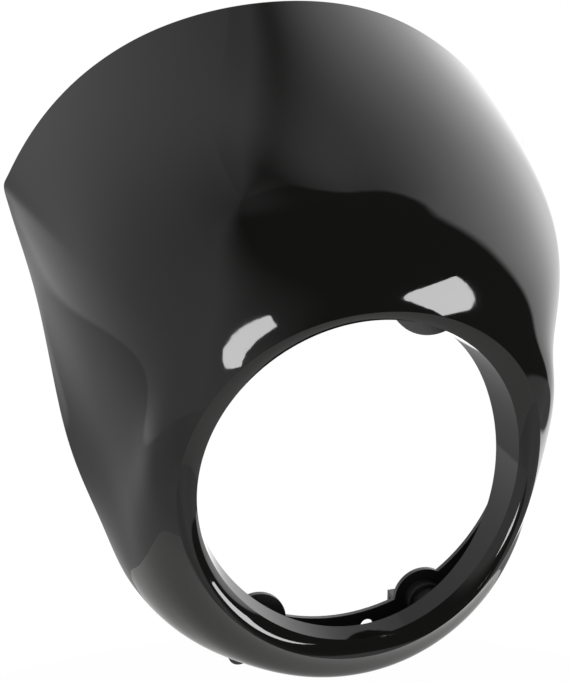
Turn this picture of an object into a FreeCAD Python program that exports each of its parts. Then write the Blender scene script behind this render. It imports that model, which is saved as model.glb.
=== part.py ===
import FreeCAD, Part
import math
import os
from FreeCAD import Placement, Rotation, Vector

# Motorcycle headlight mask: a moulded shell that stands around a round headlamp,
# with the steel bracket that carries it and its rubber-bushed fixings.
# Frame: millimetres, +Z up, front towards -Y, origin at the centre of the headlamp
# opening, in the plane of its front rim.

# Names of the six profile stations, from the top round to the chin.
STATIONS = ("top", "corner", "cheek", "side", "jaw", "chin")

# Names of the rings that shape the shell between the rim and the outer edge.
RINGS = ("groove", "nose", "brow", "crown", "valley", "visor")

# Driving dimensions.
# Each ring value is a distance outwards from the rim ("out") or behind the rim plane ("back").
SIZES = {
    # opening and its collar
    "rim_radius": 81.0,
    "rim_bow": 3.9,
    "rim_wave": 0.7,
    "bore_radius": 78.7,
    "bore_depth": 17.6,
    "bore_tilt": 8.9,
    "lip_out": 4.0,
    "lip_forward": 3.0,
    "lip_width_top": 6.3,
    "lip_width_side": 8.8,
    "lip_width_chin": 8.8,
    "lip_fall": 1.0,
    "wall": 3.0,
    "edge_round": 1.0,
    # directions of the profile stations, in degrees from the top
    "angle_top": 0.0,
    "angle_corner": 48.0,
    "angle_cheek": 68.0,
    "angle_side": 90.0,
    "angle_jaw": 135.0,
    "angle_chin": 180.0,
    # groove between the collar and the brow, which fades out below
    "groove_out_top": 5.5,
    "groove_out_corner": 7.5,
    "groove_out_cheek": 9.5,
    "groove_out_side": 10.5,
    "groove_out_jaw": 11.5,
    "groove_out_chin": 11.5,
    "groove_back_top": -0.5,
    "groove_back_corner": 4.5,
    "groove_back_cheek": 6.5,
    "groove_back_side": 7.0,
    "groove_back_jaw": 2.0,
    "groove_back_chin": -3.5,
    # underside of the brow, above, and root of the cheek, below
    "nose_out_top": 4.0,
    "nose_out_corner": 10.5,
    "nose_out_cheek": 13.0,
    "nose_out_side": 14.5,
    "nose_out_jaw": 16.0,
    "nose_out_chin": 18.5,
    "nose_back_top": -10.0,
    "nose_back_corner": 1.5,
    "nose_back_cheek": 5.0,
    "nose_back_side": 7.5,
    "nose_back_jaw": 5.0,
    "nose_back_chin": 0.0,
    # front of the brow
    "brow_out_top": 17.5,
    "brow_out_corner": 21.0,
    "brow_out_cheek": 25.0,
    "brow_out_side": 21.0,
    "brow_out_jaw": 24.5,
    "brow_out_chin": 26.5,
    "brow_back_top": -14.5,
    "brow_back_corner": -9.5,
    "brow_back_cheek": 2.0,
    "brow_back_side": 14.0,
    "brow_back_jaw": 11.5,
    "brow_back_chin": 3.5,
    # top of the brow
    "crown_out_top": 45.5,
    "crown_out_corner": 45.0,
    "crown_out_cheek": 28.5,
    "crown_out_side": 24.0,
    "crown_out_jaw": 31.5,
    "crown_out_chin": 29.5,
    "crown_back_top": 2.0,
    "crown_back_corner": -1.5,
    "crown_back_cheek": 17.0,
    "crown_back_side": 29.5,
    "crown_back_jaw": 23.0,
    "crown_back_chin": 13.0,
    # hollow between the brow and the visor
    "valley_out_top": 65.0,
    "valley_out_corner": 72.5,
    "valley_out_cheek": 42.5,
    "valley_out_side": 27.0,
    "valley_out_jaw": 38.5,
    "valley_out_chin": 29.5,
    "valley_back_top": 36.5,
    "valley_back_corner": 36.0,
    "valley_back_cheek": 44.0,
    "valley_back_side": 47.5,
    "valley_back_jaw": 37.0,
    "valley_back_chin": 25.0,
    # middle of the visor, above, and of the cheek, below
    "visor_out_top": 93.0,
    "visor_out_corner": 88.0,
    "visor_out_cheek": 53.5,
    "visor_out_side": 33.0,
    "visor_out_jaw": 41.5,
    "visor_out_chin": 28.5,
    "visor_back_top": 84.5,
    "visor_back_corner": 87.0,
    "visor_back_cheek": 77.5,
    "visor_back_side": 67.5,
    "visor_back_jaw": 53.5,
    "visor_back_chin": 35.5,
    # outer edge: a rounded top edge up to the visor's corner, then the side and the chin
    "edge_corner_angle": 50.0,
    "edge_out_top": 123.0,
    "edge_out_top_quarter": 118.0,
    "edge_out_corner": 103.5,
    "edge_out_below_corner": 79.5,
    "edge_out_temple": 55.5,
    "edge_out_side": 42.5,
    "edge_out_cheek": 37.0,
    "edge_out_jaw": 43.5,
    "edge_out_under_jaw": 36.0,
    "edge_out_chin": 27.0,
    "edge_back_top": 131.5,
    "edge_back_top_quarter": 144.0,
    "edge_back_corner": 138.5,
    "edge_back_side": 89.0,
    "edge_back_jaw": 71.5,
    "edge_back_chin": 45.5,
    # moulded bosses on the inside, two above and two below the opening
    "boss_across": 44.0,
    "boss_above": 80.0,
    "boss_below": 83.0,
    "boss_radius": 8.0,
    "boss_reach": 30.0,
    "insert_radius": 4.2,
    "insert_length": 12.0,
    "screw_radius": 3.0,
    # bracket
    "plate_back": 30.0,
    "plate_thickness": 2.5,
    "ring_inner_radius": 87.5,
    "ring_outer_radius": 98.0,
    "lug_radius_above": 22.0,
    "lug_radius_below": 15.0,
    "link_hole_radius": 3.5,
    "link_hole_pitch": 96.0,
    "link_hole_angle": 8.5,
    "link_pad_radius": 8.0,
    "arm_across": 44.0,
    "arm_width": 12.0,
    "arm_drop": 95.0,
    "arm_back": 60.0,
    "arm_end_drop": 118.0,
    "arm_hole_radius": 3.25,
    # rubber bushes, washers and screws
    "bush_radius": 9.5,
    "bush_thickness": 6.0,
    "bush_neck_radius": 5.5,
    "washer_radius": 8.5,
    "washer_thickness": 1.6,
    "screw_head_radius": 5.25,
    "screw_head_height": 3.3,
    "screw_length": 20.0,
    "socket_across": 4.0,
    "socket_depth": 2.0,
    "clearance": 0.3,
}

doc = FreeCAD.newDocument("HeadlightMask")
sheet = doc.addObject("Spreadsheet::Sheet", "Sizes")
for line, (name, value) in enumerate(SIZES.items(), start=1):
    sheet.set("A%d" % line, name)
    sheet.set("B%d" % line, str(value))
    sheet.setAlias("B%d" % line, name)
doc.recompute()


def size(name):
    """A driving dimension, read from the sheet."""
    return float(getattr(sheet, name))


# Curves through named stations

def smooth_through(stops, values, level_start=True, level_end=True):
    """Cubic curve through (stop, value) pairs; an end that isn't level is left free."""
    count = len(stops)
    gaps = [stops[i + 1] - stops[i] for i in range(count - 1)]
    slopes = [(values[i + 1] - values[i]) / gaps[i] for i in range(count - 1)]
    lower, middle, upper, right = [0.0] * count, [1.0] * count, [0.0] * count, [0.0] * count
    if level_start:
        middle[0], upper[0], right[0] = 2 * gaps[0], gaps[0], 6 * slopes[0]
    if level_end:
        lower[-1], middle[-1], right[-1] = gaps[-1], 2 * gaps[-1], -6 * slopes[-1]
    for i in range(1, count - 1):
        lower[i], middle[i], upper[i] = gaps[i - 1], 2 * (gaps[i - 1] + gaps[i]), gaps[i]
        right[i] = 6 * (slopes[i] - slopes[i - 1])
    for i in range(1, count):
        factor = lower[i] / middle[i - 1]
        middle[i] -= factor * upper[i - 1]
        right[i] -= factor * right[i - 1]
    bends = [0.0] * count
    bends[-1] = right[-1] / middle[-1]
    for i in range(count - 2, -1, -1):
        bends[i] = (right[i] - upper[i] * bends[i + 1]) / middle[i]

    def value_at(x):
        i = 0
        while i < count - 2 and x > stops[i + 1]:
            i += 1
        gap = gaps[i]
        a = (stops[i + 1] - x) / gap
        b = 1 - a
        bend = ((a ** 3 - a) * bends[i] + (b ** 3 - b) * bends[i + 1]) * gap * gap / 6
        return a * values[i] + b * values[i + 1] + bend

    return value_at


STOPS = [size("angle_" + station) for station in STATIONS]
CORNER = size("edge_corner_angle")


def ring_curve(kind, ring):
    return smooth_through(STOPS, [size("%s_%s_%s" % (ring, kind, s)) for s in STATIONS])


OUT = {ring: ring_curve("out", ring) for ring in RINGS}
BACK = {ring: ring_curve("back", ring) for ring in RINGS}

EDGE_TOP = smooth_through(
    [0.0, CORNER / 2, CORNER],
    [size("edge_out_top"), size("edge_out_top_quarter"), size("edge_out_corner")],
    level_end=False)
EDGE_SIDE = smooth_through(
    [CORNER, CORNER + 7, CORNER + 20, 90.0, 112.0, 135.0, 157.0, 180.0],
    [size("edge_out_" + s) for s in ("corner", "below_corner", "temple", "side",
                                     "cheek", "jaw", "under_jaw", "chin")],
    level_start=False)
EDGE_BACK = smooth_through(
    [0.0, CORNER / 2, CORNER, 90.0, 135.0, 180.0],
    [size("edge_back_" + s) for s in ("top", "top_quarter", "corner", "side", "jaw", "chin")])


def rim_back(angle):
    """The rim bows: its sides lie behind its top and bottom."""
    turn = math.radians(angle)
    return -size("rim_bow") * math.cos(2 * turn) + size("rim_wave") * math.cos(3 * turn)


def lip_width(angle):
    turn = math.radians(angle)
    top, side, chin = (size("lip_width_" + s) for s in ("top", "side", "chin"))
    return side + (top - chin) / 2 * math.cos(turn) + ((top + chin) / 2 - side) * math.cos(turn) ** 2


def profile(angle):
    """Radius and depth of each ring on one side of the mask, from the rim to the outer edge."""
    rim = size("rim_radius")
    base = rim_back(angle)
    points = [(rim, base),
              (rim + size("lip_out"), base - size("lip_forward")),
              (rim + lip_width(angle), base - size("lip_fall"))]
    points += [(rim + OUT[ring](angle), BACK[ring](angle)) for ring in RINGS]
    edge = EDGE_TOP if angle <= CORNER else EDGE_SIDE
    points.append((rim + edge(angle), EDGE_BACK(angle)))
    return points


# Directions in which the shell is sampled: fine steps at the visor's corner, wider away from it

def graded_steps(span, first=1.5, growth=1.35, largest=8.0):
    steps = []
    step = first
    while sum(steps) < span:
        steps.append(min(step, largest))
        step *= growth
    scale = span / sum(steps)
    return [s * scale for s in steps]


def sample_angles():
    up = []
    angle = CORNER
    for step in graded_steps(CORNER):
        angle -= step
        up.append(max(angle, 0.0))
    down = []
    angle = CORNER
    for step in graded_steps(180.0 - CORNER):
        angle += step
        down.append(min(angle, 180.0))
    half = up[::-1] + [CORNER] + down
    return half + [360.0 - a for a in half[-2:0:-1]]


ANGLES = sample_angles()


def place(angle, radius, back):
    turn = math.radians(angle)
    return Vector(radius * math.sin(turn), back, radius * math.cos(turn))


def ring_points(radius_of, back_of):
    """Points round the opening; both functions take the angle folded onto one side."""
    points = []
    for angle in ANGLES:
        side = angle if angle <= 180.0 else 360.0 - angle
        points.append(place(angle, radius_of(side), back_of(side)))
    return points


def neighbours(points, i):
    return points[i - 1], points[(i + 1) % len(points)]


def poles_of(points):
    """Control points whose closed curve runs through the given points, nearly exactly."""
    poles = []
    for i, point in enumerate(points):
        before, after = neighbours(points, i)
        poles.append(point - (before - point * 2 + after) * (1.0 / 6.0))
    return poles


def skin(rings):
    """Smooth closed band whose rows of control points are the given rings."""
    rows = [poles_of(ring) for ring in rings]
    around = len(rows[0])
    across = len(rows)
    degree = min(3, across - 1)
    inner_knots = across - degree + 1
    poles = [[row[i] for row in rows] for i in range(around)]
    surface = Part.BSplineSurface()
    surface.buildFromPolesMultsKnots(
        poles,
        [1] * (around + 1), [degree + 1] + [1] * (inner_knots - 2) + [degree + 1],
        [float(i) for i in range(around + 1)], [float(i) for i in range(inner_knots)],
        True, False, 3, degree)
    return surface.toShape()


def shell_rings():
    """Rings of the outer face, from the rim to the outer edge."""
    profiles = [profile(a if a <= 180.0 else 360.0 - a) for a in ANGLES]
    return [[place(a, *points[j]) for a, points in zip(ANGLES, profiles)]
            for j in range(len(profiles[0]))]


def inner_rings(rings, wall):
    """Rings set back behind the outer face by the wall, square to it."""
    last = len(rings) - 1
    inside = []
    for j, ring in enumerate(rings):
        row = []
        for i, point in enumerate(ring):
            before, after = neighbours(ring, i)
            inward = rings[max(j - 1, 0)][i]
            outward = rings[min(j + 1, last)][i]
            normal = (after - before).cross(outward - inward)
            normal.normalize()
            if normal.y < 0:
                normal = normal * -1
            row.append(point + normal * wall)
        inside.append(row)
    return inside


def make_shell():
    wall = size("wall")
    outer = shell_rings()
    inner = inner_rings(outer, wall)
    rim = size("rim_radius")
    bore = size("bore_radius")

    def bore_back(angle):
        return size("bore_depth") + size("bore_tilt") * math.cos(math.radians(angle))

    bore_rear = ring_points(lambda a: bore, bore_back)
    collar_rear = ring_points(lambda a: bore + wall, bore_back)
    inner[0] = ring_points(lambda a: rim + wall, lambda a: rim_back(a) + wall)

    # the outer edge is rounded: two rings stand a little proud of it
    proud = size("edge_round")
    edge_out, edge_in = [], []
    for i, point in enumerate(outer[-1]):
        along = point - outer[-2][i]
        along.normalize()
        edge_out.append(point + along * proud)
        edge_in.append(inner[-1][i] + along * proud)

    faces = [
        skin([bore_rear, outer[0]]),
        skin(outer),
        skin([outer[-1], edge_out, edge_in, inner[-1]]),
        skin(inner[::-1]),
        skin([inner[0], collar_rear]),
        skin([collar_rear, bore_rear]),
    ]
    shell = Part.makeShell(faces)
    shell.sewShape()
    solid = Part.makeSolid(shell)
    if solid.Volume < 0:
        solid.reverse()
    return solid


# Small helpers for pieces made of primitives; lengths are expressions over the sheet

def bind(piece, **expressions):
    for prop, expression in expressions.items():
        piece.setExpression(prop.replace("__", "."), expression)
    return piece


def at(piece, x, y, z):
    return bind(piece, Placement__Base__x=x, Placement__Base__y=y, Placement__Base__z=z)


def rod(name, radius, length, x, y, z):
    """Cylinder along +Y that starts at the given place."""
    piece = doc.addObject("Part::Cylinder", name)
    piece.Placement = Placement(Vector(), Rotation(Vector(1, 0, 0), -90))
    bind(piece, Radius=radius, Height=length)
    return at(piece, x, y, z)


def block(name, length, width, height, x, y, z):
    piece = doc.addObject("Part::Box", name)
    bind(piece, Length=length, Width=width, Height=height)
    return at(piece, x, y, z)


def fuse(name, pieces):
    result = doc.addObject("Part::MultiFuse", name)
    result.Shapes = pieces
    return result


def cut(name, base, tools):
    result = doc.addObject("Part::Cut", name)
    result.Base = base
    result.Tool = tools[0] if len(tools) == 1 else fuse(name + "_tools", tools)
    return result


def group(name, pieces):
    result = doc.addObject("Part::Compound", name)
    result.Links = pieces
    return result


# The four fixing points, as seen by someone who looks at the front
FIXINGS = {
    "upper_left": ("-Sizes.boss_across", "Sizes.boss_above", "Sizes.lug_radius_above"),
    "upper_right": ("Sizes.boss_across", "Sizes.boss_above", "Sizes.lug_radius_above"),
    "lower_left": ("-Sizes.boss_across", "-Sizes.boss_below", "Sizes.lug_radius_below"),
    "lower_right": ("Sizes.boss_across", "-Sizes.boss_below", "Sizes.lug_radius_below"),
}
BOSS_END = "(Sizes.plate_back - Sizes.bush_thickness)"
PLATE_REAR = "(Sizes.plate_back + Sizes.plate_thickness)"
WASHER_REAR = "(Sizes.plate_back + Sizes.plate_thickness + Sizes.washer_thickness)"


def boss_behind(moulding, x, z):
    """Solid boss from the shell's inner face back to the boss end."""
    end = size("plate_back") - size("bush_thickness")
    bar = Part.makeCylinder(size("boss_radius"), end + size("boss_reach"),
                            Vector(x, -size("boss_reach"), z), Vector(0, 1, 0))
    pieces = bar.cut(moulding).Solids
    return max(pieces, key=lambda piece: piece.BoundBox.YMax)


def add_mask_shell():
    """The moulding: skin, collar and four bosses with pockets for the inserts."""
    moulding = make_shell()
    across = size("boss_across")
    bosses = [boss_behind(moulding, sign * across, z)
              for sign in (-1, 1) for z in (size("boss_above"), -size("boss_below"))]
    body = doc.addObject("Part::Feature", "shell_with_bosses")
    body.Shape = moulding.multiFuse(bosses)
    pockets = [rod("pocket_" + place_name, "Sizes.insert_radius + Sizes.clearance / 2",
                   "Sizes.insert_length", x, "%s - Sizes.insert_length" % BOSS_END, z)
               for place_name, (x, z, _) in FIXINGS.items()]
    return cut("mask_shell", body, pockets)


def add_inserts():
    inserts = []
    for place_name, (x, z, _) in FIXINGS.items():
        start = "%s - Sizes.insert_length" % BOSS_END
        sleeve = rod("sleeve_" + place_name, "Sizes.insert_radius", "Sizes.insert_length",
                     x, start, z)
        thread = rod("thread_" + place_name, "Sizes.screw_radius + Sizes.clearance / 3",
                     "Sizes.insert_length", x, start, z)
        inserts.append(cut("insert_" + place_name, sleeve, [thread]))
    return group("threaded_inserts", inserts)


def add_bush(place_name):
    """Rubber bush between a boss and its lug, with a neck through the lug."""
    x, z, _ = FIXINGS[place_name]
    pad = rod("pad_" + place_name, "Sizes.bush_radius", "Sizes.bush_thickness", x, BOSS_END, z)
    neck = rod("neck_" + place_name, "Sizes.bush_neck_radius",
               "Sizes.bush_thickness + Sizes.plate_thickness", x, BOSS_END, z)
    bore = rod("bore_" + place_name, "Sizes.screw_radius + Sizes.clearance",
               "Sizes.bush_thickness + Sizes.plate_thickness", x, BOSS_END, z)
    return cut("bush_" + place_name, fuse("bush_body_" + place_name, [pad, neck]), [bore])


def add_bracket():
    """Steel ring plate with four lugs, two link holes and two folded arms."""
    start = "Sizes.plate_back"
    thick = "Sizes.plate_thickness"
    disc = rod("ring_disc", "Sizes.ring_outer_radius", thick, "0", start, "0")
    opening = rod("ring_opening", "Sizes.ring_inner_radius", thick, "0", start, "0")
    link_pads = []
    holes = []
    for side, sign in (("left", "-"), ("right", "")):
        x = sign + "Sizes.link_hole_pitch * sin(Sizes.link_hole_angle * 1 deg)"
        z = "-Sizes.link_hole_pitch * cos(Sizes.link_hole_angle * 1 deg)"
        link_pads.append(rod("link_pad_" + side, "Sizes.link_pad_radius", thick, x, start, z))
        holes.append(rod("link_hole_" + side, "Sizes.link_hole_radius", thick, x, start, z))
    ring = cut("ring_plate", fuse("ring_blank", [disc] + link_pads), [opening])
    lugs = []
    for place_name, (x, z, radius) in FIXINGS.items():
        lugs.append(rod("lug_" + place_name, radius, thick, x, start, z))
        holes.append(rod("lug_hole_" + place_name, "Sizes.bush_neck_radius + Sizes.clearance",
                         thick, x, start, z))
    arms = []
    for side, sign in (("left", "-1"), ("right", "1")):
        middle = "%s * Sizes.arm_across" % sign
        left_edge = middle + " - Sizes.arm_width / 2"
        arms.append(block("arm_run_" + side, "Sizes.arm_width",
                          "Sizes.arm_back + Sizes.plate_thickness - Sizes.plate_back", thick,
                          left_edge, start, "-Sizes.arm_drop - Sizes.plate_thickness"))
        arms.append(block("arm_leg_" + side, "Sizes.arm_width", thick,
                          "Sizes.arm_end_drop - Sizes.arm_drop",
                          left_edge, "Sizes.arm_back", "-Sizes.arm_end_drop"))
        arms.append(rod("arm_end_" + side, "Sizes.arm_width / 2", thick,
                        middle, "Sizes.arm_back", "-Sizes.arm_end_drop"))
        holes.append(rod("arm_hole_" + side, "Sizes.arm_hole_radius", thick,
                         middle, "Sizes.arm_back", "-Sizes.arm_end_drop"))
    return cut("mounting_bracket", fuse("bracket_blank", [ring] + lugs + arms), holes)


def add_washers():
    washers = []
    for place_name, (x, z, _) in FIXINGS.items():
        disc = rod("washer_disc_" + place_name, "Sizes.washer_radius", "Sizes.washer_thickness",
                   x, PLATE_REAR, z)
        hole = rod("washer_hole_" + place_name, "Sizes.screw_radius + Sizes.clearance",
                   "Sizes.washer_thickness", x, PLATE_REAR, z)
        washers.append(cut("washer_" + place_name, disc, [hole]))
    return group("bracket_washers", washers)


def add_screws():
    """Domed socket screws from behind, through washer, lug and bush into the inserts."""
    screws = []
    for place_name, (x, z, _) in FIXINGS.items():
        shank = rod("shank_" + place_name, "Sizes.screw_radius", "Sizes.screw_length",
                    x, "%s - Sizes.screw_length" % WASHER_REAR, z)
        head = rod("head_" + place_name, "Sizes.screw_head_radius", "Sizes.screw_head_height",
                   x, WASHER_REAR, z)
        dome = doc.addObject("Part::Fillet", "dome_" + place_name)
        dome.Base = head
        doc.recompute()
        rear = head.Shape.BoundBox.YMax
        rim_edges = [i for i, edge in enumerate(head.Shape.Edges, start=1)
                     if abs(edge.BoundBox.YMin - rear) < 1e-3 and edge.Length > 1]
        crown = size("screw_head_height") * 0.7
        dome.Edges = [(i, crown, crown) for i in rim_edges]
        socket = doc.addObject("Part::Prism", "socket_" + place_name)
        socket.Polygon = 6
        socket.Placement = Placement(Vector(), Rotation(Vector(1, 0, 0), -90))
        bind(socket, Circumradius="Sizes.socket_across / sqrt(3)", Height="Sizes.socket_depth")
        at(socket, x, "%s + Sizes.screw_head_height - Sizes.socket_depth" % WASHER_REAR, z)
        screws.append(cut("screw_" + place_name, fuse("screw_body_" + place_name, [shank, dome]),
                          [socket]))
    return group("bracket_screws", screws)


def check_and_write(pieces):
    doc.recompute()
    for item in doc.Objects:
        if "Invalid" in item.State or "Error" in item.State:
            raise RuntimeError("%s failed: %s" % (item.Name, item.State))
    os.makedirs("parts", exist_ok=True)
    for piece in pieces:
        shape = piece.Shape
        if shape.isNull() or not shape.isValid():
            raise RuntimeError("%s has no valid shape" % piece.Label)
        print("%-20s solids %d  volume %9.0f" % (piece.Label, len(shape.Solids), shape.Volume))
        shape.exportStep("parts/%s.step" % piece.Label)


PIECES = [add_mask_shell(), add_inserts()]
PIECES += [add_bush(place_name) for place_name in FIXINGS]
PIECES += [add_bracket(), add_washers(), add_screws()]
check_and_write(PIECES)
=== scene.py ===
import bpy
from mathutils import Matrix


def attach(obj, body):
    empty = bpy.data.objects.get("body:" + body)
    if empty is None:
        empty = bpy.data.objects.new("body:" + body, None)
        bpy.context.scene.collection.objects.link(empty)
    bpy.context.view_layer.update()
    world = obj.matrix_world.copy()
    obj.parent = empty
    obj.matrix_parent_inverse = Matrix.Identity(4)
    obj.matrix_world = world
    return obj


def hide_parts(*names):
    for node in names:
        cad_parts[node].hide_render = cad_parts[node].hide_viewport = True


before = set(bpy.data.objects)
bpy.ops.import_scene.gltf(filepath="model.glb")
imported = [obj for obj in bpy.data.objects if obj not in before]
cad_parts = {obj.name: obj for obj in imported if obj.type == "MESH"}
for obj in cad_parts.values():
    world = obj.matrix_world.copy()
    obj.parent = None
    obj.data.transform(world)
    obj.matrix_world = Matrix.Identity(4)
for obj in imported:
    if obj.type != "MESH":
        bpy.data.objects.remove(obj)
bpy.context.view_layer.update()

import math

import bpy
import numpy as np
from mathutils import Matrix, Quaternion, Vector
from mathutils.bvhtree import BVHTree

# Looks of the motorcycle headlight mask: a gloss black moulding on a black steel bracket.
# The shell is worked out in the same way as the solid, so that its reflections run smoothly.
# Its outer edge and visor have the solid's sizes. Its lip is wider and has a crease, and its
# collar and brow were fitted to the reflections in the photograph, so these differ from the
# solid. Sizes are in millimetres here, and MM turns them into metres.

MM = 0.001

# Shell sizes

STATIONS = (0.0, 48.0, 68.0, 90.0, 135.0, 180.0)      # top, corner, cheek, side, jaw, chin
RIM_RADIUS = 81.0
RIM_BOW = 3.9
RIM_WAVE = 0.7
BORE_RADIUS = 78.7
WALL = 3.0
EDGE_ROUND = 1.0

# By station: rear edge of the collar, the lip's width, how far its outer edge stands
# forward, and its bulge
COLLAR_BACK = (22.0, 27.0, 29.0, 25.5, 12.0, 4.4)
LIP_WIDTH = (4.65, 9.15, 10.4, 10.15, 9.2, 9.7)
LIP_RISE = (2.75, 3.75, 3.7, 1.65, 2.8, 1.45)
LIP_BULGE = (0.3, 0.55, 0.4, 2.0, 1.15, 0.4)

# Each ring: distances out from the rim, then distances behind the rim plane, by station
RINGS = {
    "root": ((10.3, 13.75, 14.95, 13.75, 13.65, 16.1), (-4.85, -3.0, -0.65, 5.9, 3.05, -1.05)),
    "brow": ((20.95, 23.55, 25.4, 21.0, 24.5, 26.5), (-4.05, -1.6, 1.35, 14.0, 11.5, 3.5)),
    "crown": ((45.5, 45.0, 28.5, 24.0, 31.5, 29.5), (5.0, 6.0, 17.0, 29.5, 23.0, 13.0)),
    "valley": ((65.0, 72.5, 42.5, 27.0, 38.5, 29.5), (36.5, 36.0, 44.0, 47.5, 37.0, 25.0)),
    "visor": ((93.0, 88.0, 53.5, 33.0, 41.5, 28.5), (84.5, 87.0, 77.5, 67.5, 53.5, 35.5)),
}

# Outer edge, either side of the visor's corner
CORNER = 50.0
EDGE_TOP_OUT = {0.0: 123.0, 25.0: 118.0, 50.0: 103.5}
EDGE_SIDE_OUT = {50.0: 103.5, 57.0: 79.5, 70.0: 55.5, 90.0: 42.5,
                 112.0: 37.0, 135.0: 43.5, 157.0: 36.0, 180.0: 27.0}
EDGE_BACK = {0.0: 131.5, 25.0: 144.0, 50.0: 138.5, 90.0: 89.0, 135.0: 71.5, 180.0: 45.5}

# Bosses
BOSS_PLACES = [(side * 44.0, z) for side in (-1, 1) for z in (80.0, -83.0)]
BOSS_RADIUS = 8.0
BOSS_END = 24.0
BOSS_EDGE = 0.6
BOSS_SINK = 1.5            # how far a boss reaches into the shell's wall
POCKET_RADIUS = 4.35
POCKET_LENGTH = 12.0
POCKET_EDGE = 0.3

# Radius and depth of a boss, from its side over its end to the pocket's floor
BOSS_PROFILE = (
    (BOSS_RADIUS, BOSS_END - BOSS_EDGE),
    (BOSS_RADIUS - BOSS_EDGE / 3, BOSS_END - BOSS_EDGE / 4),
    (BOSS_RADIUS - BOSS_EDGE, BOSS_END),
    (POCKET_RADIUS + POCKET_EDGE, BOSS_END),
    (POCKET_RADIUS, BOSS_END - POCKET_EDGE),
    (POCKET_RADIUS, BOSS_END - POCKET_LENGTH),
)

# Mesh fineness: points round the opening, and rows across each band of the shell
AROUND = 720
BORE_ROWS = 10
LIP_ROWS = 24
OUTER_ROWS = 150
EDGE_ROWS = 9
INNER_ROWS = 75
COLLAR_ROWS = 8
COLLAR_END_ROWS = 3
BOSS_SEGMENTS = 48
INSIDE_BANDS = (4, 5, 6)   # inner face, collar and collar end have the matt texture


def smooth_through(stops, values, level_start=True, level_end=True):
    """Cubic curve through (stop, value) pairs; an end that isn't level is left free."""
    count = len(stops)
    gaps = [stops[i + 1] - stops[i] for i in range(count - 1)]
    slopes = [(values[i + 1] - values[i]) / gaps[i] for i in range(count - 1)]
    system = np.eye(count)
    right = np.zeros(count)
    if level_start:
        system[0, :2] = 2 * gaps[0], gaps[0]
        right[0] = 6 * slopes[0]
    if level_end:
        system[-1, -2:] = gaps[-1], 2 * gaps[-1]
        right[-1] = -6 * slopes[-1]
    for i in range(1, count - 1):
        system[i, i - 1:i + 2] = gaps[i - 1], 2 * (gaps[i - 1] + gaps[i]), gaps[i]
        right[i] = 6 * (slopes[i] - slopes[i - 1])
    bends = np.linalg.solve(system, right)

    def value_at(x):
        i = 0
        while i < count - 2 and x > stops[i + 1]:
            i += 1
        gap = gaps[i]
        a = (stops[i + 1] - x) / gap
        b = 1 - a
        bend = ((a ** 3 - a) * bends[i] + (b ** 3 - b) * bends[i + 1]) * gap * gap / 6
        return a * values[i] + b * values[i + 1] + bend

    return value_at


OUT = [smooth_through(STATIONS, out) for out, _ in RINGS.values()]
BACK = [smooth_through(STATIONS, back) for _, back in RINGS.values()]
EDGE_TOP_CURVE = smooth_through(list(EDGE_TOP_OUT), list(EDGE_TOP_OUT.values()), level_end=False)
EDGE_SIDE_CURVE = smooth_through(list(EDGE_SIDE_OUT), list(EDGE_SIDE_OUT.values()),
                                 level_start=False)
EDGE_BACK_CURVE = smooth_through(list(EDGE_BACK), list(EDGE_BACK.values()))


def rim_back(angle):
    """Depth of the rim, which bows forward at the top and the chin."""
    turn = math.radians(angle)
    return -RIM_BOW * math.cos(2 * turn) + RIM_WAVE * math.cos(3 * turn)


COLLAR_BACK_CURVE = smooth_through(STATIONS, COLLAR_BACK)
LIP_WIDTH_CURVE = smooth_through(STATIONS, LIP_WIDTH)
LIP_RISE_CURVE = smooth_through(STATIONS, LIP_RISE)
LIP_BULGE_CURVE = smooth_through(STATIONS, LIP_BULGE)


def lip_profile(angle):
    """Control points across the lip, from the rim to its outer edge."""
    base = rim_back(angle)
    width = LIP_WIDTH_CURVE(angle)
    rise = LIP_RISE_CURVE(angle)
    bulge = LIP_BULGE_CURVE(angle)
    return [(RIM_RADIUS, base),
            (RIM_RADIUS + width / 3, base - rise / 3 - bulge),
            (RIM_RADIUS + width * 2 / 3, base - rise * 2 / 3 - bulge),
            (RIM_RADIUS + width, base - rise)]


def profile(angle):
    """Radius and depth of each ring at one angle from the top, from the lip to the outer edge."""
    points = [lip_profile(angle)[-1]]
    points += [(RIM_RADIUS + out(angle), back(angle)) for out, back in zip(OUT, BACK)]
    edge = EDGE_TOP_CURVE if angle <= CORNER else EDGE_SIDE_CURVE
    points.append((RIM_RADIUS + edge(angle), EDGE_BACK_CURVE(angle)))
    return points


def graded_steps(span, first=1.5, growth=1.35, largest=8.0):
    """Steps in degrees that grow away from the visor's corner."""
    steps = []
    step = first
    while sum(steps) < span:
        steps.append(min(step, largest))
        step *= growth
    scale = span / sum(steps)
    return [s * scale for s in steps]


def sample_angles():
    """Angles of the ring points, closest together at the visor's two corners."""
    up = []
    angle = CORNER
    for step in graded_steps(CORNER):
        angle -= step
        up.append(max(angle, 0.0))
    down = []
    angle = CORNER
    for step in graded_steps(180.0 - CORNER):
        angle += step
        down.append(min(angle, 180.0))
    half = up[::-1] + [CORNER] + down
    return half + [360.0 - a for a in half[-2:0:-1]]


ANGLES = sample_angles()


def place(angle, radius, back):
    turn = math.radians(angle)
    return (radius * math.sin(turn), back, radius * math.cos(turn))


def folded(angle):
    return angle if angle <= 180.0 else 360.0 - angle


def rings_from(profile_at):
    """Rings of points round the opening, one for each point of the profile."""
    profiles = [profile_at(folded(a)) for a in ANGLES]
    return [np.array([place(a, *points[j]) for a, points in zip(ANGLES, profiles)])
            for j in range(len(profiles[0]))]


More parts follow.
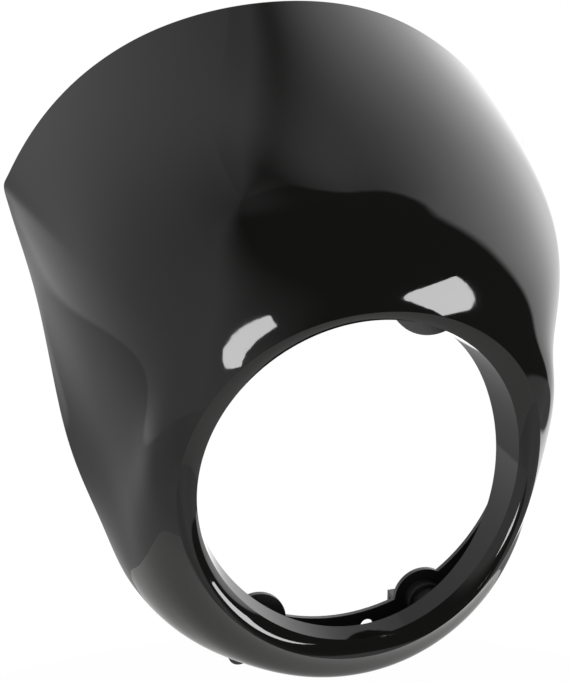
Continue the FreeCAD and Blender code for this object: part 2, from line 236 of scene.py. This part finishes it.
def inner_rings(rings):
    """The rings moved back through the wall, square to the outer face."""
    inside = []
    for j, ring in enumerate(rings):
        along = np.roll(ring, -1, 0) - np.roll(ring, 1, 0)
        across = rings[min(j + 1, len(rings) - 1)] - rings[max(j - 1, 0)]
        normal = np.cross(along, across)
        normal /= np.linalg.norm(normal, axis=1, keepdims=True)
        normal *= np.where(normal[:, 1:2] < 0, -1.0, 1.0)
        inside.append(ring + normal * WALL)
    return inside


def spline_weights(count, degree, samples):
    """Weights of the control rows of a clamped spline with even knots."""
    spans = count - degree
    knots = np.concatenate([np.zeros(degree), np.linspace(0, 1, spans + 1), np.ones(degree)])
    t = np.clip(samples, 0, 1 - 1e-9)[:, None]
    weights = ((t >= knots[:-1]) & (t < knots[1:])).astype(float)
    for p in range(1, degree + 1):
        rows = len(knots) - 1 - p
        raised = np.zeros((len(t), rows))
        for i in range(rows):
            before = knots[i + p] - knots[i]
            after = knots[i + p + 1] - knots[i + 1]
            if before > 0:
                raised[:, i] += (t[:, 0] - knots[i]) / before * weights[:, i]
            if after > 0:
                raised[:, i] += (knots[i + p + 1] - t[:, 0]) / after * weights[:, i + 1]
        weights = raised
    return weights


def skin(rings, across):
    """Grid of points (around, across) on the smooth closed band through the rings."""
    rows = np.stack(rings, 1)
    poles = rows - (np.roll(rows, 1, 0) - 2 * rows + np.roll(rows, -1, 0)) / 6
    count = len(poles)
    u = np.arange(AROUND) * count / AROUND
    i = np.floor(u).astype(int)
    f = u - i
    around = np.stack([(1 - f) ** 3 / 6, (3 * f ** 3 - 6 * f ** 2 + 4) / 6,
                       (-3 * f ** 3 + 3 * f ** 2 + 3 * f + 1) / 6, f ** 3 / 6], 1)
    index = np.stack([i - 1, i, i + 1, i + 2], 1) % count
    bands = np.einsum("uk,ukrc->urc", around, poles[index])
    degree = min(3, len(rings) - 1)
    weights = spline_weights(len(rings), degree, np.linspace(0, 1, across))
    return np.einsum("vr,urc->uvc", weights, bands)


# Mesh helpers

def mesh_object(name, points, faces):
    mesh = bpy.data.meshes.new(name)
    mesh.from_pydata([tuple(p) for p in points], [], faces)
    mesh.validate()
    mesh.shade_smooth()
    piece = bpy.data.objects.new(name, mesh)
    bpy.context.scene.collection.objects.link(piece)
    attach(piece, "root")
    return piece


def grid_faces(around, across, offset):
    faces = []
    for i in range(around):
        nxt = (i + 1) % around
        for j in range(across - 1):
            faces.append((offset + i * across + j, offset + nxt * across + j,
                          offset + nxt * across + j + 1, offset + i * across + j + 1))
    return faces


def make_shell():
    """Points and faces of the closed moulding, and the number of each face's band."""
    lip = rings_from(lip_profile)
    outer = rings_from(profile)
    inner_rim, collar_rear, bore_rear = rings_from(
        lambda angle: [(RIM_RADIUS + WALL, rim_back(angle) + WALL),
                       (BORE_RADIUS + WALL, COLLAR_BACK_CURVE(angle)),
                       (BORE_RADIUS, COLLAR_BACK_CURVE(angle))])
    inner = [inner_rim] + inner_rings(outer)

    def proud(rings):
        """Ring just past the outer edge, which rounds it."""
        along = outer[-1] - outer[-2]
        along /= np.linalg.norm(along, axis=1, keepdims=True)
        return rings[-1] + along * EDGE_ROUND

    bands = [
        skin([bore_rear, lip[0]], BORE_ROWS),
        skin(lip, LIP_ROWS),
        skin(outer, OUTER_ROWS),
        skin([outer[-1], proud(outer), proud(inner), inner[-1]], EDGE_ROWS),
        skin(inner[::-1], INNER_ROWS),
        skin([inner[0], collar_rear], COLLAR_ROWS),
        skin([collar_rear, bore_rear], COLLAR_END_ROWS),
    ]
    points, faces, areas = [], [], []
    for area, band in enumerate(bands):
        new = grid_faces(AROUND, band.shape[1], len(points))
        faces += new
        areas += [area] * len(new)
        points += list(band.reshape(-1, 3) * MM)
    return points, faces, areas


shell_points, shell_faces, shell_areas = make_shell()
shell = mesh_object("mask_moulding", shell_points, shell_faces)
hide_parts("mask_shell")


def make_bosses():
    """Four moulded bosses on the inner face, each with the pocket of its insert."""
    tree = BVHTree.FromPolygons([Vector(p) for p in shell_points], shell_faces)
    turns = [2 * math.pi * k / BOSS_SEGMENTS for k in range(BOSS_SEGMENTS)]
    forwards = Vector((0, -1, 0))
    points, faces = [], []
    for x, z in BOSS_PLACES:
        start = len(points)
        for turn in turns:
            px, pz = x + BOSS_RADIUS * math.cos(turn), z + BOSS_RADIUS * math.sin(turn)
            hit = tree.ray_cast(Vector((px, BOSS_END, pz)) * MM, forwards)[0]
            points.append((px * MM, hit.y - BOSS_SINK * MM, pz * MM))
        for radius, back in BOSS_PROFILE:
            points += [((x + radius * math.cos(turn)) * MM, back * MM,
                        (z + radius * math.sin(turn)) * MM) for turn in turns]
        for j in range(len(BOSS_PROFILE)):
            row = start + j * BOSS_SEGMENTS
            after = row + BOSS_SEGMENTS
            for k in range(BOSS_SEGMENTS):
                nxt = (k + 1) % BOSS_SEGMENTS
                faces.append((row + k, row + nxt, after + nxt, after + k))
        floor = start + len(BOSS_PROFILE) * BOSS_SEGMENTS
        faces.append(tuple(range(floor, floor + BOSS_SEGMENTS)))
    return points, faces


boss_points, boss_faces = make_bosses()
bosses = mesh_object("mask_bosses", boss_points, boss_faces)


# Materials

NOISE_SPAN = (0.3, 0.7)    # where nearly all values of a noise lie


class Nodes:
    """Short way to build a node tree."""

    def __init__(self, tree):
        self.tree = tree
        tree.nodes.clear()

    def add(self, kind, *inputs, **settings):
        node = self.tree.nodes.new("ShaderNode" + kind)
        for key, value in settings.items():
            setattr(node, key, value)
        for i, value in enumerate(inputs):
            self.put(node.inputs[i], value)
        return node

    def put(self, socket, value):
        if value is None:
            return
        if isinstance(value, bpy.types.NodeSocket):
            self.tree.links.new(value, socket)
        else:
            socket.default_value = value

    def math(self, operation, *inputs):
        return self.add("Math", *inputs, operation=operation).outputs[0]

    def ramp(self, value, low, high, to_low=0.0, to_high=1.0):
        node = self.add("MapRange", value, low, high, to_low, to_high,
                        interpolation_type="SMOOTHSTEP")
        return node.outputs[0]


def new_material(name):
    material = bpy.data.materials.new(name)
    material.use_nodes = True
    return material, Nodes(material.node_tree)


def surface(nodes, **inputs):
    """Shader with the given values, an underscore standing for a space in a socket's name."""
    shader = nodes.add("BsdfPrincipled")
    for key, value in inputs.items():
        nodes.put(shader.inputs[key.replace("_", " ")], value)
    out = nodes.add("OutputMaterial")
    nodes.tree.links.new(shader.outputs[0], out.inputs["Surface"])


def noise(nodes, scale, detail):
    """Noise in the piece's own coordinates."""
    node = nodes.add("TexNoise", nodes.add("TexCoord").outputs["Object"])
    node.inputs["Scale"].default_value = scale
    node.inputs["Detail"].default_value = detail
    return node.outputs[0]


def relief(nodes, height, strength, depth):
    bump = nodes.add("Bump")
    bump.inputs["Strength"].default_value = strength
    bump.inputs["Distance"].default_value = depth
    nodes.put(bump.inputs["Height"], height)
    return bump.outputs[0]


def roughness(nodes, pattern, low, high):
    return nodes.ramp(pattern, *NOISE_SPAN, low, high)


def gloss_black():
    """High gloss black plastic with faint orange peel and uneven polish."""
    material, nodes = new_material("gloss_black_abs")
    peel = noise(nodes, 160.0, 1.0)
    haze = noise(nodes, 14.0, 4.0)
    surface(nodes, Base_Color=(0.004, 0.004, 0.0036, 1),
            Roughness=roughness(nodes, haze, 0.018, 0.035),
            Normal=relief(nodes, peel, 0.02, 0.0004), IOR=1.5)
    return material


def grained(name, colour, scale, detail, strength, depth, low, high):
    """One colour with a fine grain that shows in the relief and the gloss."""
    material, nodes = new_material(name)
    grain = noise(nodes, scale, detail)
    surface(nodes, Base_Color=colour + (1,), Roughness=roughness(nodes, grain, low, high),
            Normal=relief(nodes, grain, strength, depth))
    return material


def metal(name, colour, low, high, scale):
    """Bare metal whose tone and gloss vary slightly."""
    material, nodes = new_material(name)
    grain = noise(nodes, scale, 4.0)
    darker = tuple(c * 0.85 for c in colour)
    tone = nodes.add("MixRGB", nodes.ramp(grain, 0.35, 0.65), darker + (1,), colour + (1,))
    surface(nodes, Base_Color=tone.outputs[0], Roughness=roughness(nodes, grain, low, high),
            Metallic=1.0)
    return material


GLOSS = gloss_black()
MATT = grained("matt_inside_abs", (0.012, 0.012, 0.012), 900.0, 3.0, 0.25, 0.0003, 0.32, 0.45)
STEEL = grained("black_steel_coat", (0.014, 0.014, 0.015), 1400.0, 2.0, 0.3, 0.0002, 0.3, 0.42)
RUBBER = grained("bush_rubber", (0.018, 0.018, 0.018), 700.0, 2.0, 0.3, 0.0003, 0.6, 0.75)
FINISH = {
    "mounting_bracket": STEEL,
    "threaded_inserts": metal("insert_brass", (0.72, 0.52, 0.24), 0.25, 0.4, 300.0),
    "bracket_washers": metal("zinc_steel", (0.62, 0.62, 0.6), 0.25, 0.4, 200.0),
    "bracket_screws": metal("dark_zinc_steel", (0.2, 0.2, 0.2), 0.3, 0.42, 300.0),
}

shell.data.materials.append(GLOSS)
shell.data.materials.append(MATT)
for polygon, area in zip(shell.data.polygons, shell_areas):
    polygon.material_index = 1 if area in INSIDE_BANDS else 0
bosses.data.materials.append(MATT)

for node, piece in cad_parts.items():
    material = FINISH.get(node, RUBBER if node.startswith("bush") else None)
    if material is not None:
        for material_slot in piece.material_slots:
            material_slot.material = material


# Camera: at the photograph's viewpoint, left of the mask, in front of it and above it

IMAGE_WIDTH = 569
IMAGE_HEIGHT = 681
FOCAL_PIXELS = 1800.0
CAMERA_AZIMUTH = math.radians(18.206)
CAMERA_HEIGHT = math.radians(20.045)
CAMERA_ROLL = math.radians(0.341)
ORIGIN_PIXEL = (365.2, 481.04)
PIXELS_PER_MM = 2.1252

back = Vector((-math.sin(CAMERA_AZIMUTH) * math.cos(CAMERA_HEIGHT),
               -math.cos(CAMERA_AZIMUTH) * math.cos(CAMERA_HEIGHT), math.sin(CAMERA_HEIGHT)))
level_right = Vector((math.cos(CAMERA_AZIMUTH), -math.sin(CAMERA_AZIMUTH), 0))
level_up = back.cross(level_right)
right = level_right * math.cos(CAMERA_ROLL) + level_up * math.sin(CAMERA_ROLL)
up = level_up * math.cos(CAMERA_ROLL) - level_right * math.sin(CAMERA_ROLL)
distance = FOCAL_PIXELS / PIXELS_PER_MM * MM
aside = (ORIGIN_PIXEL[0] - IMAGE_WIDTH / 2) * distance / FOCAL_PIXELS
above = (IMAGE_HEIGHT / 2 - ORIGIN_PIXEL[1]) * distance / FOCAL_PIXELS

camera_data = bpy.data.cameras.new("camera")
camera_data.sensor_width = 36.0
camera_data.lens = FOCAL_PIXELS / IMAGE_HEIGHT * camera_data.sensor_width
camera_data.clip_start = 0.01
camera_data.clip_end = 50.0
camera = bpy.data.objects.new("camera", camera_data)
bpy.context.scene.collection.objects.link(camera)
camera.matrix_world = Matrix((
    (right.x, up.x, back.x, 0), (right.y, up.y, back.y, 0), (right.z, up.z, back.z, 0),
    (0, 0, 0, 1)))
camera.location = back * distance - right * aside - up * above
bpy.context.scene.camera = camera


# Surroundings: a pale studio with a bright wall on the right, a dark stretch in front and a table

# Stops are (degrees, brightness), and bearing 0 is behind the mask, 90 right and 180 in front
ROOM_BY_HEIGHT = ((-30, 0.76), (-12, 0.84), (0, 0.78), (30, 0.72), (50, 0.66), (65, 0.6), (76, 0.5),
                  (90, 0.34))
WALL_BY_BEARING = ((15, 0.2), (45, 0.5), (60, 0.76), (75, 0.95), (90, 1.0), (105, 0.97), (120, 0.8),
                   (132, 0.6))
WALL_BY_HEIGHT = ((-30, 0.8), (-15, 0.68), (-5, 0.86), (5, 1.0), (15, 1.0), (25, 0.87),
                  (35, 0.75), (45, 0.58), (55, 0.43), (62, 0.3), (68, 0.17), (74, 0.0))
WALL_END_BY_HEIGHT = ((-25, 96), (-15, 108), (-5, 123), (5, 130), (20, 132), (40, 131), (50, 127),
                      (56, 120), (62, 108), (68, 92), (74, 60))
TABLE_BY_BEARING = ((0, 0.42), (15, 0.4), (30, 0.22), (75, 0.26), (95, 0.45), (106, 0.62),
                    (135, 0.62), (160, 0.78), (180, 0.72), (195, 0.58), (225, 0.72), (255, 0.74),
                    (270, 0.66), (300, 0.6), (330, 0.52), (360, 0.42))
TABLE_BY_HEIGHT = ((-90, 0.6), (-80, 0.95), (-65, 1.0), (-50, 0.85), (-35, 0.85), (-25, 1.0))
WALL_STRENGTH = 3.5
DARK = 0.08

# Borders are in degrees: where a change starts and ends, then the values there if not 0 and 1
ROOM_TO_LEFT = (190.0, 320.0, 0.93, 1.12)
DARK_RIGHT_BORDER = (20.0, 45.0)
DARK_LEFT_BORDER = (166.0, 192.0, 1.0, 0.0)
DARK_LEAN = -0.38          # the left border lies further left the higher it is
DARK_TOP = (74.0, 90.0, 1.0, 0.4)
WALL_BORDER = (-4.0, 3.0, WALL_STRENGTH, 0.0)
HORIZON = (-22.0, -20.0)
HORIZON_DROP = (60.0, 110.0, 7.0, 0.0)


def make_world():
    """Light from all round, by bearing and height, as the photograph's reflections show it."""
    world = bpy.data.worlds.new("studio")
    bpy.context.scene.world = world
    world.use_nodes = True
    nodes = Nodes(world.node_tree)
    direction = nodes.add("TexCoord").outputs["Generated"]
    axes = nodes.add("SeparateXYZ", direction).outputs
    height = nodes.math("DEGREES", nodes.math("ARCSINE", axes[2]))
    bearing = nodes.math("DEGREES", nodes.math("ARCTAN2", axes[0], axes[1]))
    around = nodes.math("FLOORED_MODULO", bearing, 360.0)

    def graph(value, stops):
        """Smooth graph of brightness through the stops."""
        low, high = stops[0][0], stops[-1][0]
        top = max(level for _, level in stops)
        place_in = nodes.add("MapRange", value, low, high, 0.0, 1.0).outputs[0]
        ramp = nodes.add("ValToRGB", place_in)
        ramp.color_ramp.interpolation = "B_SPLINE"
        elements = ramp.color_ramp.elements
        while len(elements) < len(stops):
            elements.new(0.5)
        for element, (stop, level) in zip(elements, stops):
            element.position = (stop - low) / (high - low)
            element.color = (level / top, level / top, level / top, 1)
        return nodes.math("MULTIPLY", ramp.outputs[0], float(top))

    def mix(amount, low, high):
        return nodes.add("Mix", amount, None, low, high).outputs[0]

    room = nodes.math("MULTIPLY", graph(height, ROOM_BY_HEIGHT),
                      nodes.ramp(around, *ROOM_TO_LEFT))
    leaning = nodes.math("MULTIPLY_ADD", height, DARK_LEAN, around)
    dark = nodes.math("MULTIPLY", nodes.ramp(around, *DARK_RIGHT_BORDER),
                      nodes.ramp(leaning, *DARK_LEFT_BORDER))
    dark = nodes.math("MULTIPLY", dark, nodes.ramp(height, *DARK_TOP))
    above = mix(dark, room, DARK)
    wall_end = nodes.math("SUBTRACT", around, graph(height, WALL_END_BY_HEIGHT))
    wall = nodes.math("MULTIPLY", graph(around, WALL_BY_BEARING), graph(height, WALL_BY_HEIGHT))
    wall = nodes.math("MULTIPLY", wall, nodes.ramp(wall_end, *WALL_BORDER))
    above = nodes.math("ADD", above, wall)
    table = nodes.math("MULTIPLY", graph(around, TABLE_BY_BEARING), graph(height, TABLE_BY_HEIGHT))
    horizon = nodes.math("ADD", height, nodes.ramp(around, *HORIZON_DROP))
    level = mix(nodes.ramp(horizon, *HORIZON), table, above)
    # the camera itself sees plain white
    strength = mix(nodes.add("LightPath").outputs["Is Camera Ray"], level, 1.0)
    background = nodes.add("Background")
    nodes.put(background.inputs["Color"], (1, 1, 1, 1))
    nodes.put(background.inputs["Strength"], strength)
    out = nodes.add("OutputWorld")
    nodes.tree.links.new(background.outputs[0], out.inputs["Surface"])


make_world()


def make_floor():
    """Pale round floor under the mask, white to the camera but for a faint shadow."""
    radius, level, segments = 0.5, -0.36, 96
    white_to_camera = 0.97
    ring = [(radius * math.cos(2 * math.pi * k / segments),
             radius * math.sin(2 * math.pi * k / segments), level) for k in range(segments)]
    mesh = bpy.data.meshes.new("floor")
    mesh.from_pydata(ring, [], [tuple(range(segments))])
    floor = bpy.data.objects.new("floor", mesh)
    bpy.context.scene.collection.objects.link(floor)
    material, nodes = new_material("pale_floor")
    paint = nodes.add("BsdfDiffuse", (0.85, 0.85, 0.84, 1))
    glow = nodes.add("Emission", (1, 1, 1, 1), 1.0)
    seen = nodes.math("MULTIPLY", nodes.add("LightPath").outputs["Is Camera Ray"],
                      white_to_camera)
    mix = nodes.add("MixShader", seen, paint.outputs[0], glow.outputs[0])
    out = nodes.add("OutputMaterial")
    nodes.tree.links.new(mix.outputs[0], out.inputs["Surface"])
    mesh.materials.append(material)


make_floor()


def softbox(name, bearing, height, reach, width, tall, tilt, power):
    """Rectangular lamp that faces the mask from a direction given in degrees.

    Reach, width and tall are in metres, tilt is in degrees and power in watts.
    """
    lamp = bpy.data.lights.new(name, "AREA")
    lamp.shape = "RECTANGLE"
    lamp.size = width
    lamp.size_y = tall
    lamp.energy = power
    stand = bpy.data.objects.new(name, lamp)
    bpy.context.scene.collection.objects.link(stand)
    turn, rise = math.radians(bearing), math.radians(height)
    direction = Vector((math.sin(turn) * math.cos(rise), math.cos(turn) * math.cos(rise),
                        math.sin(rise)))
    stand.location = direction * reach
    stand.rotation_mode = "QUATERNION"
    about_centre = Quaternion((0, 0, 1), math.radians(tilt))
    stand.rotation_quaternion = direction.to_track_quat("Z", "Y") @ about_centre


softbox("softbox_left", 178.0, -7.8, 3.0, 0.47, 0.51, 21.0, 9.8)
softbox("softbox_right", 151.7, -5.4, 3.0, 0.84, 0.57, 23.0, 19.5)

scene = bpy.context.scene
scene.view_settings.view_transform = "Standard"
